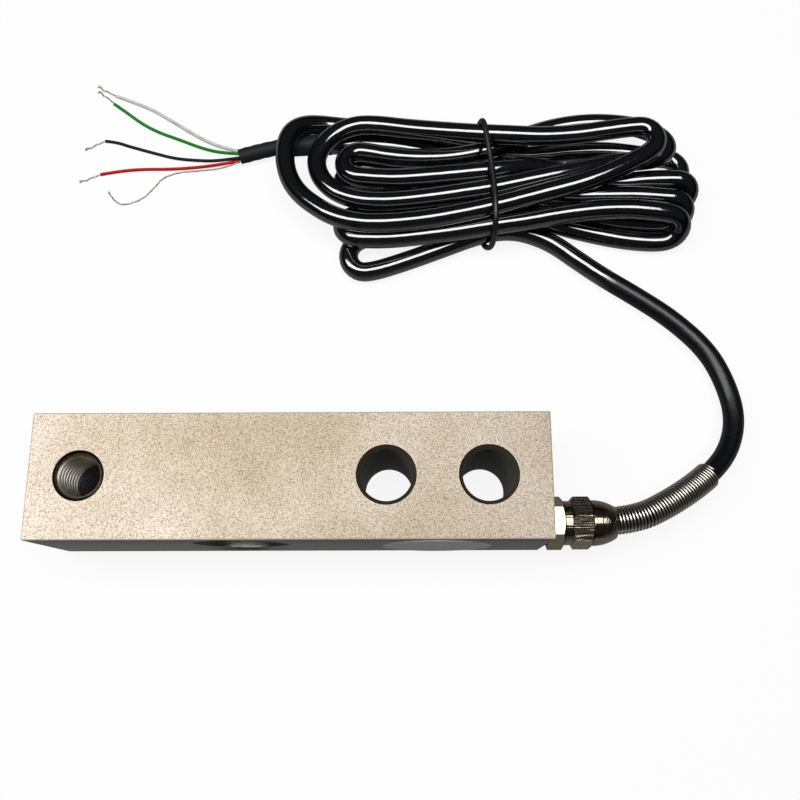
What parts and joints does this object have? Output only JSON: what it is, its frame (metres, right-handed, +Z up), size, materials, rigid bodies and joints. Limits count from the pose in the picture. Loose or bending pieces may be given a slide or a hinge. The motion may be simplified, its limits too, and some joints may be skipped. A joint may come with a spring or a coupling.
{
  "type": "shear beam load cell",
  "caption": "Square steel shear beam load cell with a threaded load hole, through mounting holes, a gland with a spring strain relief and a tied hank of cable.",
  "frame": {"origin": "midpoint between the axes of the two mounting holes, on the beam's underside", "axes": "+X along the beam towards the cable gland, +Z up out of the face that takes the load, +Y away from the side face with the label plate"},
  "size_m": [0.1959, 0.1478, 0.0318],
  "materials": {
    "blasted_nickel": "alloy steel, fine blasted and nickel plated",
    "cover_steel": "pressed steel, nickel plated",
    "gauge_film": "polyimide film with foil grids",
    "board_laminate": "glass laminate",
    "resistor_ceramic": "ceramic chip",
    "tinned_copper": "tinned copper wire",
    "soft_sealant": "soft silicone",
    "white_insulation": "white PVC",
    "green_insulation": "green PVC",
    "black_insulation": "black PVC",
    "red_insulation": "red PVC",
    "label_plate": "bare plate, dark satin paint",
    "polished_nickel": "brass, polished and nickel plated",
    "seal_rubber": "nitrile rubber",
    "slip_ring_nylon": "natural nylon",
    "spring_wire": "drawn spring wire, bright",
    "cable_jacket": "glossy black PVC",
    "tie_cord": "black coated cord",
    "shrink_sleeve": "black heat-shrink sleeve"
  },
  "bodies": {
    "root": {"beam_body": "blasted_nickel", "pocket_cover_front": "cover_steel", "pocket_cover_rear": "cover_steel", "strain_gauge_front": "gauge_film", "strain_gauge_rear": "gauge_film", "terminal_board": "board_laminate", "trim_resistors": "resistor_ceramic", "gauge_leads": "tinned_copper", "bridge_leads": "tinned_copper", "shield_drain_wire": "tinned_copper", "conductor_white": "tinned_copper", "conductor_green": "tinned_copper", "conductor_black": "tinned_copper", "conductor_red": "tinned_copper", "potting_front": "soft_sealant", "potting_rear": "soft_sealant", "lead_white": "white_insulation", "core_white": "white_insulation", "lead_green": "green_insulation", "core_green": "green_insulation", "lead_black": "black_insulation", "core_black": "black_insulation", "lead_red": "red_insulation", "core_red": "red_insulation", "label_disc": "label_plate", "gland_body": "polished_nickel", "gland_nut": "polished_nickel", "gland_o_ring": "seal_rubber", "gland_seal": "seal_rubber", "clamp_ring": "slip_ring_nylon", "strain_relief_spring": "spring_wire", "cable_lead": "cable_jacket", "cable_hank": "cable_jacket", "hank_band": "tie_cord", "end_sleeve": "shrink_sleeve"}
  },
  "joints": []
}
